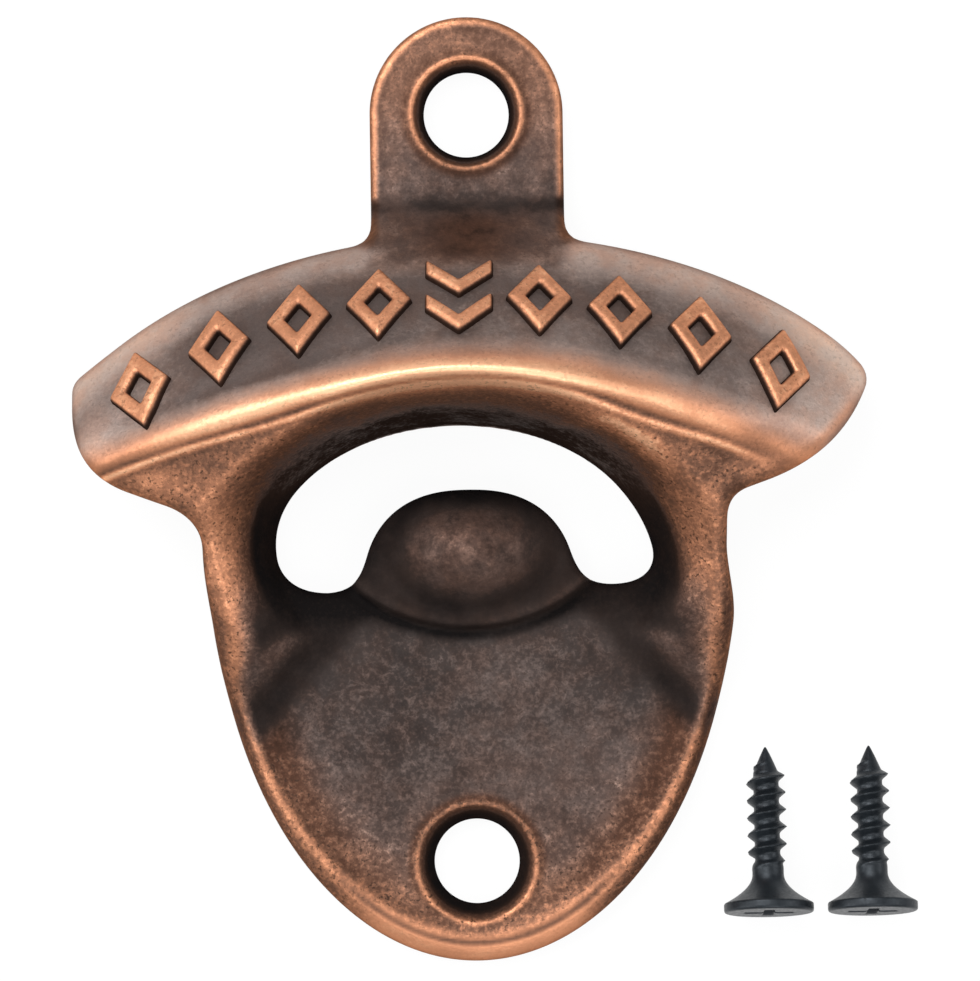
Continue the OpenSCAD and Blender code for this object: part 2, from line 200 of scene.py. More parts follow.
# Widths over which the casting's faces are rounded where they meet
END_ROUND = 0.6
END_TOP_ROUND = 0.8
UNDER_ROUND = 4.5
BODY_TOP_ROUND = 3.0
NOTCH_ROUND_LEFT = 3.0
NOTCH_ROUND_RIGHT = 1.8
NECK_ROUND = 1.8
LOBE_ROUND = 3.2
RIDGE_ROUND = 1.8
POCKET_ROLL = 6.5
RAMP_LIFT_ROUND = 2.0
RAMP_ROUND = 1.8
PLATE_ROUND = 0.7
HOLLOW_ROUND = 1.5
HOLLOW_SIDE_ROUND = 2.0
HOLLOW_RIM_ROUND = 0.6
TAB_EDGE_ROUND = 0.8
HOOD_EDGE_EXTRA = 0.6
POST_EDGE_EXTRA = 1.0
CRESCENT_ROUND = 1.3
BACK_ROUND = 0.5
HOLE_ROUND = 0.3
SINK_ROUND = 0.25

# Raised marks on the band
MARK_SIDE_COUNT = 4
MARK_PITCH = 6.8
MARK_MIDDLE = -0.8
MARK_DROP = 5.8
MARK_TURN = 0.6
MARK_L = 8.6
MARK_W = 5.8
MARK_STROKE = 1.5
ARROW_RISE = 4.7
ARROW_STROKE = 2.0
MARK_H = 0.8
MARK_DRAFT = 0.15
MARK_ROUND = 0.5
MARK_SIDE_TONE = 0.12
MARK_FACE_TONE = 0.80

# Screws
SCREW_L = 14.6
HEAD_R = 3.89
HEAD_RIM = 0.8
FLARE_L = 2.6
FLARE_POWER = 2.0
NECK_R = 1.35
NECK_L = 0.9
THREAD_R = 1.75
CORE_R = 1.1
THREAD_PITCH = 1.5
THREAD_FLANK = 1.25
THREAD_LEAD = 0.8
THREAD_SLANT = 0.7
TIP_L = 2.4
TIP_POWER = 0.9
POINT_L = 1.3
SHANK_OVERLAP = 2.0
RECESS_HALF = 2.2
RECESS_SLOT = 0.9
RECESS_DEPTH = 1.7

# Widths over which a screw's faces are rounded where they meet
NECK_END_ROUND = 0.4
THREAD_ROUND = 0.12
TIP_ROUND = 0.05
SHANK_ROUND = 0.3
HEAD_ROUND = 0.25
RECESS_ROUND = 0.15

# Grid steps of the meshes, and of the maps that the finish is worked out on
FINE_STEP = 0.21
COARSE_STEP = 0.42
HEIGHT_STEP = 0.30
MARK_STEP = 0.16
SCREW_STEP = 0.11
MAP_STEP = 0.25
MAP_MARGIN = 3.0

# Values that follow from the sizes
SINKS = ((HOLE_Y, TAB_SINK_R), (-HOLE_Y, SINK_R))
BAND_K = (RIDGE_H - VISOR_EDGE_H) / (1.0 - RIDGE_RISE / VISOR_B)
RIDGE_Y = MIDDLE_Y + RIDGE_RISE
POST_SLOPE = (RIDGE_H - PLATE_T) / (RIDGE_RISE + POST_RUN)

# Tones of the copper as (place, tone) stops, from 0 for black over 0.5 for brown to 1 for bright copper
POCKET_SIDE_TONES = ((0.0, 0.02), (1.7, 0.04), (2.2, 0.34), (2.8, 0.52),
                     (3.5, 0.59), (4.4, 0.61), (6.0, 0.60))
POCKET_SHOULDER_TONES = ((0.0, 0.08), (0.6, 0.20), (1.9, 0.22), (2.8, 0.28),
                         (3.3, 0.36), (4.0, 0.47), (6.0, 0.56))
POCKET_CROWN_TONES = ((0.0, 0.08), (0.6, 0.12), (1.2, 0.14), (1.5, 0.23),
                      (2.5, 0.35), (3.3, 0.36), (6.0, 0.52))
RIDGE_TONES = ((-2.4, 0.56), (-2.0, 0.80), (-1.5, 0.95), (-1.0, 0.62), (-0.6, 0.82), (0.0, 0.83),
               (0.5, 0.82), (1.2, 0.74), (1.9, 0.65), (3.0, 0.49), (4.5, 0.38))
RIM_TONES = ((0.0, 0.52), (0.4, 0.64), (1.4, 0.63), (1.75, 0.57), (2.1, 0.49), (4.4, 0.43))
RIDGE_END_TONE = 0.62
EDGE_TONE = 0.38
REAR_FINISH = {"tone": 0.32, "haze": 0.3, "speckle": 0.7, "patches": 0.9}

# Colours: (tone, red, green, blue) stops of the copper and of the grey film on it, which also stands in for
# a painted grey sheen, then plain ones
COPPER_COLOURS = (
    (0.00, 0.006, 0.005, 0.005),
    (0.15, 0.020, 0.011, 0.008),
    (0.30, 0.068, 0.032, 0.021),
    (0.45, 0.170, 0.085, 0.055),
    (0.60, 0.330, 0.150, 0.086),
    (0.80, 0.630, 0.285, 0.155),
    (1.00, 0.960, 0.540, 0.320),
)
FILM_AND_SHEEN_COLOURS = (
    (0.00, 0.008, 0.007, 0.007),
    (0.20, 0.045, 0.037, 0.035),
    (0.40, 0.150, 0.118, 0.108),
    (0.60, 0.380, 0.305, 0.272),
    (1.00, 0.700, 0.560, 0.480),
)
PIT_COLOUR = (0.03, 0.020, 0.016, 1)
COPPER_TINT = (0.70, 0.46, 0.36, 1)
SCREW_DARK = (0.006, 0.008, 0.011, 1)
SCREW_PALE = (0.018, 0.024, 0.030, 1)
FLOOR_COLOUR = (0.93, 0.93, 0.93, 1)
WHITE = (1, 1, 1, 1)

# Floor, half its side in metres and its drop in millimetres, with the share that glows, and the room
FLOOR_HALF = 2.0
FLOOR_DROP = 0.05
FLOOR_GLOW = 0.93
ROOM_COLOUR = (0.5, 0.5, 0.5, 1)
ROOM_STRENGTH = 0.6

# Lamps: name, place in metres, side in metres, power in watts
LAMPS = (
    ("key", (-0.28, 0.45, 0.78), 0.7, 9.2),
    ("fill", (0.15, -0.5, 0.7), 0.7, 4.0),
    ("left", (-0.7, -0.1, 0.4), 0.4, 3.0),
    ("right", (0.65, 0.05, 0.42), 0.5, 2.0),
)


def smooth_min(a, b, k):
    """The lesser of a and b, rounded over a width of about k where they cross."""
    share = np.clip(0.5 + 0.5 * (b - a) / k, 0.0, 1.0)
    return b + (a - b) * share - k * share * (1.0 - share)


def smooth_max(a, b, k):
    """The greater of a and b, rounded over a width of about k where they cross."""
    return -smooth_min(-a, -b, k)


def blend(a, b, share):
    """A value between a and b."""
    return a + (b - a) * share


def rise(value, low, high):
    """A smooth step from 0 at low to 1 at high."""
    share = np.clip((value - low) / (high - low), 0.0, 1.0)
    return share * share * (3.0 - 2.0 * share)


def fall(value, low, high):
    """A smooth step from 1 at low to 0 at high."""
    return rise(-value, -high, -low)


def bump(distance, width):
    """A smooth rise to 1 at distance 0 that dies away over width."""
    return np.exp(-((distance / width) ** 2))


def read_stops(place, stops):
    """A value read from (place, value) stops, along straight lines between them."""
    places, values = zip(*stops)
    return np.interp(place, places, values)


def ellipse_distance(x, y, a, b):
    """Roughly the distance outside an ellipse about the origin, negative inside it."""
    share = np.sqrt((x / a) ** 2 + (y / b) ** 2) + 1e-6
    steepness = np.sqrt((x / a ** 2) ** 2 + (y / b ** 2) ** 2) / share + 1e-6
    return (share - 1.0) / steepness


def hood_x(x, y):
    """Distance from the hood's own middle line."""
    shift = blend(FOOT_SHIFT, TOP_SHIFT, rise(y, *HOOD_LEAN_SPAN))
    return np.abs(x - shift * rise(y, *HOOD_SHIFT_SPAN))


def pocket_x(x, y):
    """Distance from the pocket's own middle line."""
    return np.abs(x - POCKET_SHIFT * rise(y, *POCKET_SHIFT_SPAN))


def post_x(x, y):
    """Distance from the middle line between the posts."""
    share = rise(y, *POST_SHIFT_SPAN)
    return np.abs(x - POST_SHIFT * share) + POST_INSET * share


def visor_distance(x, y):
    """Distance outside the visor: an ellipse that is cut off at its ends and underneath."""
    hx = hood_x(x, y)
    px = np.abs(x)
    visor = ellipse_distance(hx, y - MIDDLE_Y, VISOR_A, VISOR_B)
    lean = np.where(x < 0.0, END_LEAN_LEFT, END_LEAN_RIGHT)
    slant = (px - VISOR_HALF) * np.cos(lean) - (y - END_LEAN_Y) * np.sin(lean)
    end = smooth_max(slant, px - VISOR_HALF, END_ROUND)
    under = (hx - UNDER_X) * math.sin(UNDER_SLOPE) - (y - UNDER_Y) * math.cos(UNDER_SLOPE)
    return smooth_max(smooth_max(visor, end, END_TOP_ROUND), under, UNDER_ROUND)


def outline_distance(x, y):
    """Distance outside the outline seen from the front: visor, posts with the plate, and tab."""
    side = post_x(x, y)
    foot = ellipse_distance(side, y - MIDDLE_Y, BODY_HALF, MIDDLE_Y - FOOT_Y)
    body = np.where(y < MIDDLE_Y, foot, side - BODY_HALF)
    body = smooth_max(body, y - BODY_TOP, BODY_TOP_ROUND)
    px = np.abs(x)
    tab = np.where(y > HOLE_Y, np.hypot(px, y - HOLE_Y) - TAB_R, px - TAB_R)
    tab = np.maximum(tab, -y)
    notch_round = np.where(x < 0.0, NOTCH_ROUND_LEFT, NOTCH_ROUND_RIGHT)
    return smooth_min(smooth_min(visor_distance(x, y), body, notch_round), tab, NECK_ROUND)


def pocket_distance(x, y):
    """Distance outside the pocket's outline at its floor."""
    return ellipse_distance(pocket_x(x, y), y - MIDDLE_Y, POCKET_HALF, POCKET_RISE)


def tongue_distance(x, y):
    """Distance outside the tongue's outline above its root."""
    across = np.abs(x - TONGUE_MIDDLE) / TONGUE_HALF
    up = np.maximum(y - TONGUE_ROOT, 0.0) / (TONGUE_TOP - TONGUE_ROOT)
    share = (across ** TONGUE_POWER + up ** TONGUE_POWER + 1e-9) ** (1.0 / TONGUE_POWER)
    return (share - 1.0) * TONGUE_HALF


def crescent_distance(x, y):
    """Distance outside the crescent opening."""
    sill = SILL_Y + SILL_TILT * x - y
    above_sill = smooth_max(pocket_distance(x, y), sill, LOBE_ROUND)
    return smooth_max(above_sill, -tongue_distance(x, y), LOBE_ROUND)


def crease_distance(x, y):
    """Distance up the post's foot from the crease where it meets the plate."""
    return math.sin(CREASE_TURN) * (hood_x(x, y) - CREASE_X) + math.cos(CREASE_TURN) * (y - CREASE_Y)


def brim_distance(x, y):
    """Distance inside the arc that ends the tongue's brim."""
    return BRIM_R - np.hypot(x - TONGUE_MIDDLE, y - BRIM_Y)


def dome_share(x, y):
    """0 at the middle of the tongue's dome, 1 at its foot."""
    return ((x - TONGUE_MIDDLE) / DOME_A) ** 2 + ((y - DOME_Y) / DOME_B) ** 2


def band_height(x, y):
    """Height of the visor's sloping face above the wall."""
    share = np.hypot(hood_x(x, y) / VISOR_A, (y - MIDDLE_Y) / VISOR_B)
    return VISOR_EDGE_H + (1.0 - share) * BAND_K


def slope_height(x, y):
    """Height of the front below the ridge, which falls back towards the visor's ends."""
    fall_back = RIDGE_FALL * hood_x(x, y) ** 2 * rise(y, *RIDGE_FALL_SPAN)
    return RIDGE_H + (y - RIDGE_Y) * POST_SLOPE - fall_back


def ridge_line(hx):
    """Height up the wall of the ridge's crest."""
    return RIDGE_Y - (np.hypot(RIDGE_FLAT, RIDGE_BEND * hx) - RIDGE_FLAT)


def groove_below(hx):
    """How far the groove lies below the ridge's crest."""
    return GROOVE_BELOW + GROOVE_SAG * bump(hx - GROOVE_SAG_X, GROOVE_SAG_W)


def hood_height(x, y):
    """Front of the hood and its posts: band, ridge with its bead and groove, and the slope below it."""
    hx = hood_x(x, y)
    hood = smooth_min(band_height(x, y), slope_height(x, y), RIDGE_ROUND)
    above = y - ridge_line(hx)
    above_groove = above + groove_below(hx)
    far = rise(hx, *FAR_SPAN)
    bead = BEAD_H * bump(above, BEAD_W + FAR_BEAD_W * far)
    groove_depth = GROOVE_D * (1.0 - FAR_GROOVE_LOSS * far)
    bead = bead - groove_depth * bump(above_groove, GROOVE_W + FAR_GROOVE_W * far)
    bead = bead + UNDER_BEAD_H * bump(above_groove + UNDER_BEAD_OFF, UNDER_BEAD_W)
    cove = -COVE_D * bump(above - COVE_UP, COVE_W)
    end = np.where(x < 0.0, BEAD_END_LEFT, BEAD_END_RIGHT)
    return hood + (bead + cove) * fall(hx, end - BEAD_FADE, end)


def tongue_height(x, y):
    """How far the tongue's brim and dome stand above the plate."""
    inside = brim_distance(x, y)
    brim = BRIM_H * rise(inside, *BRIM_RISE)
    brim = brim + BRIM_BEAD_H * bump(inside - BRIM_BEAD_IN, BRIM_BEAD_W)
    brim = brim - BRIM_GROOVE_D * bump(inside + BRIM_GROOVE_OUT, BRIM_GROOVE_W)
    dome = DOME_H * np.clip(1.0 - dome_share(x, y), 0.0, None) ** DOME_POWER
    return (brim + dome) * fall(y, *TONGUE_SPAN) * fall(np.abs(x - TONGUE_MIDDLE), *BRIM_SPAN)


def rim_width(y):
    """Width of the plate's rim as a share of its usual width: less at the sides, more at the foot."""
    return RIM_SIDE + RIM_FOOT_EXTRA * fall(y, *RIM_FOOT_SPAN)


def rim_height(edge):
    """How far the plate's rim stands up at a distance in from its edge, with the groove inside it."""
    groove = RIM_GROOVE_D * bump(edge - RIM_IN - RIM_GROOVE_IN, RIM_GROOVE_W)
    return RIM_H * bump(edge - RIM_IN, RIM_W) - groove


def foot_line(x, y, edge):
    """1 on the fine line that runs along the rim at the plate's foot, 0 away from it."""
    at_foot = fall(np.abs(x), *FOOT_LINE_SPAN_X) * fall(y, *FOOT_LINE_SPAN_Y)
    return bump(edge - FOOT_LINE_IN, FOOT_LINE_W) * at_foot


def casting_heights(x, y):
    """Front and rear height maps of the casting."""
    outside = pocket_distance(x, y)
    lean = blend(LEAN_SIDE, LEAN_TOP, np.clip((y - MIDDLE_Y) / POCKET_RISE, 0.0, 1.0) ** 2)
    front = smooth_min(hood_height(x, y), PLATE_T + lean * outside, POCKET_ROLL)
    ramp = PLATE_T + RAMP_SLOPE * crease_distance(x, y)
    ramp = ramp + RAMP_LIFT * smooth_max(y - RAMP_LIFT_Y, 0.0, RAMP_LIFT_ROUND)
    front = smooth_min(front, ramp, RAMP_ROUND)

    edge = -outline_distance(x, y)
    plate = PLATE_T + rim_height(edge / rim_width(y)) * fall(y, *RIM_SPAN)
    plate = plate - FOOT_LINE_D * foot_line(x, y, edge)
    for hole_y, sink_r in SINKS:
        plate = plate + LIP_H * bump(np.hypot(x, y - hole_y) - sink_r, LIP_W)
    front = smooth_max(front, plate, PLATE_ROUND) + tongue_height(x, y)

    band_rear = band_height(x, y) - WALL * math.hypot(1.0, BAND_K / VISOR_B)
    slope_rear = slope_height(x, y) - WALL * math.hypot(1.0, POST_SLOPE) - POCKET_ROLL / 4
    rear = smooth_min(band_rear, slope_rear, HOLLOW_ROUND)
    rear = smooth_min(rear, PLATE_T + lean * (outside - WALL), HOLLOW_ROUND)
    rear = smooth_min(rear, HOLLOW_GRADE * (edge - WALL), HOLLOW_SIDE_ROUND)
    return front, smooth_max(rear, 0.0, HOLLOW_RIM_ROUND)


def graded_axis(low, high, fine_spans):
    """Grid points from low to high, closer together in the fine spans."""
    points = [low]
    while points[-1] < high:
        fine = any(a <= points[-1] < b for a, b in fine_spans)
        points.append(points[-1] + (FINE_STEP if fine else COARSE_STEP))
    return np.array(points)


def surface_slant(height, axes):
    """Cosine of a height map's slope, which turns a height difference into a distance."""
    dx, dy = np.gradient(height, axes[0], axes[1])
    return (1.0 / np.sqrt(1.0 + dx ** 2 + dy ** 2))[:, :, None]


def edge_round(y):
    """How far the front's outer edge is rounded: least on the tab, most at the feet of the posts."""
    below_tab = HOOD_EDGE_EXTRA * fall(y, 22.0, 25.0)
    below_hood = POST_EDGE_EXTRA * fall(y, -7.0, -1.0)
    along_rim = POST_EDGE_EXTRA * fall(y, -32.0, -16.0)
    return TAB_EDGE_ROUND + below_tab + below_hood - along_rim


def casting_field():
    """Distance field of the casting on a grid, with the grid's axes."""
    margin = 3.0 * COARSE_STEP
    near_hole = SINK_R + 1.0
    tab_across = (-TAB_R - 1.0, TAB_R + 1.0)
    foot_up = (FOOT_Y - 1.0, -HOLE_Y + near_hole)
    pocket_up = (-14.0, 13.0)
    tab_up = (HOLE_Y - near_hole - 2.0, HOLE_Y + TAB_R + 1.0)
    axes = [graded_axis(body_low[0] - margin, body_high[0] + margin, [tab_across]),
            graded_axis(body_low[1] - margin, body_high[1] + margin, [foot_up, pocket_up, tab_up]),
            np.arange(-3.0 * HEIGHT_STEP, body_high[2] + 4.0 * HEIGHT_STEP, HEIGHT_STEP)]
    x, y = np.meshgrid(axes[0], axes[1], indexing="ij")
    front, rear = casting_heights(x, y)
    z = axes[2][None, None, :]
    top = (z - front[:, :, None]) * surface_slant(front, axes)
    bottom = (rear[:, :, None] - z) * surface_slant(rear, axes)
    field = smooth_max(top, outline_distance(x, y)[:, :, None], edge_round(y)[:, :, None])
    field = smooth_max(field, -crescent_distance(x, y)[:, :, None], CRESCENT_ROUND)
    field = smooth_max(field, bottom, BACK_ROUND)
    for hole_y, sink_r in SINKS:
        away = np.hypot(x, y - hole_y)[:, :, None]
        field = smooth_max(field, HOLE_R - away, HOLE_ROUND)
        grade = (sink_r - SINK_IN - HOLE_R) / SINK_DEPTH
        sink = (HOLE_R + (z - PLATE_T + SINK_DEPTH) * grade - away) / math.hypot(1.0, grade)
        field = smooth_max(field, sink, SINK_ROUND)
    return field, axes


def surface_mesh(field, axes):
    """Vertices and quads of the surface where a field on a grid changes sign, by naive surface nets."""
    inside = field < 0.0
    shape = tuple(n - 1 for n in field.shape)
    corner_count = np.zeros(shape, np.uint8)
    offsets = [(i, j, k) for i in (0, 1) for j in (0, 1) for k in (0, 1)]
    for i, j, k in offsets:
        corner_count += inside[i:i + shape[0], j:j + shape[1], k:k + shape[2]]
    active = np.nonzero((corner_count > 0) & (corner_count < len(offsets)))
    index = np.full(shape, -1, np.int64)
    index[active] = np.arange(len(active[0]))
    total = np.zeros((len(active[0]), 3))
    crossings = np.zeros(len(active[0]))
    values = {o: field[active[0] + o[0], active[1] + o[1], active[2] + o[2]] for o in offsets}
    for start in offsets:
        for direction in range(3):
            if start[direction]:
                continue
            end = tuple(c + (d == direction) for d, c in enumerate(start))
            a = values[start]
            b = values[end]
            crossed = (a < 0.0) != (b < 0.0)
            share = np.where(crossed, a / np.where(crossed, a - b, 1.0), 0.0)
            for d in range(3):
                place = start[d] + (share if d == direction else 0.0)
                total[:, d] += np.where(crossed, place, 0.0)
            crossings += crossed
    cell = np.stack(active, axis=1) + total / crossings[:, None]
    columns = [np.interp(cell[:, d], np.arange(len(axes[d])), axes[d]) for d in range(3)]
    quads = []
    for direction in range(3):
        u, v = [d for d in range(3) if d != direction]
        first = [slice(1, -1)] * 3
        first[direction] = slice(0, -1)
        second = list(first)
        second[direction] = slice(1, None)
        a = inside[tuple(first)]
        b = inside[tuple(second)]
        found = np.nonzero(a != b)
        solid_first = a[found]
        where = np.stack(found, axis=1)
        where[:, [u, v]] += 1
        ring = []
        for du, dv in ((-1, -1), (0, -1), (0, 0), (-1, 0)):
            near = where.copy()
            near[:, u] += du
            near[:, v] += dv
            ring.append(index[tuple(near.T)])
        ring = np.stack(ring, axis=1)
        flip = solid_first if direction == 1 else ~solid_first
        ring[flip] = ring[flip][:, ::-1]
        quads.append(ring)
    return np.stack(columns, axis=1), np.concatenate(quads)


def make_object(name, points, quads, material, finish=None):
    """A smooth-shaded mesh object from points in millimetres, with values of its finish at each point."""
    mesh = bpy.data.meshes.new(name)
    mesh.vertices.add(len(points))
    mesh.vertices.foreach_set("co", (points * MM).ravel())
    mesh.loops.add(quads.size)
    mesh.loops.foreach_set("vertex_index", quads.ravel())
    mesh.polygons.add(len(quads))
    mesh.polygons.foreach_set("loop_start", np.arange(0, quads.size, 4))
    mesh.polygons.foreach_set("use_smooth", np.ones(len(quads), bool))
    mesh.update(calc_edges=True)
    mesh.validate()
    for key, values in (finish or {}).items():
        layer = mesh.attributes.new(key, "FLOAT", "POINT")
        layer.data.foreach_set("value", values.astype(np.float32))
    mesh.materials.append(material)
    obj = bpy.data.objects.new(name, mesh)
    bpy.context.scene.collection.objects.link(obj)
    return obj


def blurred(values, width):
    """A map averaged over a width in millimetres, three times over."""
    steps = max(1, round(width / MAP_STEP / 2))
    span = 2 * steps + 1
    for axis in (0, 1) * 3:
        pad = [(0, 0), (0, 0)]
        pad[axis] = (steps + 1, steps)
        total = np.cumsum(np.pad(values, pad, mode="edge"), axis=axis)
        count = total.shape[axis]
        high = np.take(total, range(span, count), axis=axis)
        low = np.take(total, range(0, count - span), axis=axis)
        values = (high - low) / span
    return values


def sampled(values, axes, points):
    """Values of a map at points, by bilinear interpolation."""
    cell = [np.interp(points[:, d], axes[d], np.arange(len(axes[d]))) for d in (0, 1)]
    base = [np.minimum(c.astype(int), len(axes[d]) - 2) for d, c in enumerate(cell)]
    u, v = [c - b for c, b in zip(cell, base)]
    i, j = base
    low = values[i, j] * (1.0 - u) + values[i + 1, j] * u
    high = values[i, j + 1] * (1.0 - u) + values[i + 1, j + 1] * u
    return low * (1.0 - v) + high * v


def mark_line(x):
    """Height up the wall of the row of marks."""
    across = np.clip(x / VISOR_A, -0.95, 0.95)
    return MIDDLE_Y + VISOR_B * np.sqrt(1.0 - across ** 2) - MARK_DROP


def right_half(x):
    """0 on the left of the casting, 1 on the right."""
    return rise(x, -5.0, 5.0)


def slope_tone(x, y, edge):
    """Tone of the front below the ridge: dark in the pocket, rubbed bright where its wall rolls over, with
    a painted highlight on the roll at the upper right, painted light on the right post, and painted shade
    on the right and in the notches.
    """
    outside = pocket_distance(x, y)
    shoulder = read_stops(outside, POCKET_SHOULDER_TONES)
    crown = read_stops(outside, POCKET_CROWN_TONES)
    top = blend(shoulder, crown, fall(np.abs(x), 3.0, 12.0))
    tone = blend(read_stops(outside, POCKET_SIDE_TONES), top, rise(y, -3.0, 3.0))
    # Painted highlight: a bright line along the pocket's roll at the upper right.
    painted_roll_highlight = 0.32 * rise(y, -1.0, 3.0) * rise(x, 4.0, 10.0) * bump(outside - 3.8, 0.8)
    # Painted light: the right post's inner wall is made lighter, as if lit from the right.
    painted_post_light = 0.10 * fall(y, -3.0, 1.0) * rise(x, 8.0, 14.0) * bump(outside - 3.0, 1.2)
    worn_edge = 0.10 * bump(edge - 1.6, 1.3) * rise(outside, 2.2, 3.6)
    low_posts = 0.03 * fall(y, -6.0, -2.0)
    # Painted shade: the slope is made darker on the right, away from the light.
    shade = 0.04 + 0.09 * fall(y, -6.0, -1.0)
    right_shade = shade * rise(x, 8.0, 18.0) * rise(outside, 2.0, 4.0)
    # Painted shade in the notches where the visor meets the posts.
    right_notch_shade = 0.20 * bump(np.hypot(x - 21.5, y - 1.0), 2.2)
    left_notch_shade = 0.15 * bump(np.hypot(x + 24.0, y + 1.2), 2.0)
    return tone + painted_roll_highlight + painted_post_light + worn_edge - low_posts - right_shade - right_notch_shade - left_notch_shade


def ridge_place(hx, above):
    """Place across the ridge: millimetres above its crest, -1 in its groove, then steps of GROOVE_BELOW."""
    groove = groove_below(hx)
    below = np.where(above > -groove, above / groove, (above + groove) / GROOVE_BELOW - 1.0)
    return np.where(above < 0.0, below, above)


def ridge_tone(x, hx, place, flat):
    """Tone across the ridge, plainer where it is flat at its right end."""
    dull_groove = 0.12 * bump(hx - 15.0, 6.0) * bump(place + 1.7, 0.6)
    dull_crest = 0.08 * rise(x, 5.0, 14.0) * bump(place, 0.8)
    tone = read_stops(place, RIDGE_TONES) - dull_groove - dull_crest
    tone = blend(tone, RIDGE_END_TONE, flat * fall(place, -0.5, 0.5))
    return tone - 0.17 * flat * bump(place - 2.2, 1.6)


def hood_finish(x, y):
    """Tone, haze, speckle and patches over the hood: its band, its ridge and the slope round the pocket."""
    hx = hood_x(x, y)
    above = y - ridge_line(hx)
    edge = -outline_distance(x, y)
    place = ridge_place(hx, above)
    flat = rise(x, 22.5, 26.5)
    under_line = 0.08 * rise(x, 6.0, 14.0) * bump(place + 3.6, 1.3) * (1.0 - flat)
    slope = slope_tone(x, y, edge) + under_line

    ends = rise(hx, 22.0, 29.0)
    # Painted light: the band is made lighter towards its top, where it faces up into the light.
    painted_top_light = 0.32 * rise(y - mark_line(x), 1.5, 5.0)
    # Painted light: the band is made lighter at the visor's ends and on the right.
    painted_side_light = (0.20 * ends + 0.07 * np.tanh(x / 15.0)) * rise(above, 1.0, 3.0)
    # Painted light at the hood's ends: the crest is made darker and the roll below the groove lighter,
    # which shifts the highlight.
    painted_end_light = (0.26 * bump(above, 1.3) - 0.12 * bump(place + 1.8, 0.8)) * ends * (1.0 - flat)
    # Painted shade along the band's top edge, where it rolls away.
    painted_edge_shade = 0.22 * bump(edge, 0.35) * rise(above, 1.5, 3.0)
    # Painted highlight: a bright strip along the edge of the visor's right end, which also clears the haze
    # there.
    strip = rise(hx, 27.0, 31.0) * right_half(x) * bump(edge - 0.6, 0.6) * fall(y, 6.0, 9.0)
    band = ridge_tone(x, hx, place, flat) + painted_top_light + painted_side_light - painted_end_light - painted_edge_shade + 0.08 * strip

    tone = blend(slope, band, rise(place, -3.2 - 2.0 * flat, -2.0 - 2.0 * flat))
    haze = 0.95 * rise(above, 0.2, 3.2) * (1.0 - 0.7 * strip)
    smooth = rise(above, -3.0, 0.0)
    return tone, haze, 1.0 - 0.75 * smooth, 0.6 - 0.4 * smooth


def rim_tone(x, y, edge, low, flank):
    """Tone of the plate's rim: painted bright at its foot, with the fine line in it, and painted shade
    along its flanks.
    """
    # The rim is made a little darker on the right, as painted shade.
    tone = read_stops(edge / rim_width(y), RIM_TONES) - 0.08 - 0.03 * rise(x, 0.0, 12.0) + 0.06 * low
    foot_rim_highlight = 0.20 * (1.0 - flank) * low * bump(edge - 0.6, 0.8)
    flank_shade = (0.10 + 0.06 * right_half(x)) * flank * bump(edge - 0.4, 0.6)
    return tone + foot_rim_highlight - flank_shade - 0.24 * foot_line(x, y, edge)


def post_foot_tone(x, y, edge, crease):
    """Tone of the feet of the posts, with painted shade and highlights, and the share of the bright stripe
    that runs down their outside.
    """
    right = right_half(x)
    taper = fall(y, -18.0, -12.5)
    stripe_in = 3.0 - 1.55 * taper
    soft = 1.3 + 0.5 * right * (1.0 - taper) - 0.75 * taper
    stripe = fall(edge, stripe_in - soft, stripe_in + soft)
    # Painted shade on the stripe's outer edge and on the right, a painted highlight part way down it, and
    # painted shade at its lower end.
    foot_edge_shade = (0.24 + 0.06 * right) * bump(edge - 0.5, 0.6)
    foot_right_shade = 0.08 * right * (1.0 - taper)
    stripe_highlight = 0.07 * bump(y + 15.6, 2.4)
    stripe_end_shade = (0.15 + 0.08 * right) * bump(y + 19.8, 1.9)
    stripe_tone = 0.67 - foot_edge_shade - foot_right_shade + stripe_highlight - stripe_end_shade
    # Painted highlights on the bulge above the crease and on the right post's knob.
    bulge_highlight = 0.19 * bump(crease - 2.1, 1.3) * fall(y, -13.5, -11.5)
    right_foot_highlight = 0.12 * right * bump(edge - 4.2, 1.2) * rise(y, -14.0, -11.0)
    return blend(0.06 + bulge_highlight + right_foot_highlight, stripe_tone, stripe), stripe


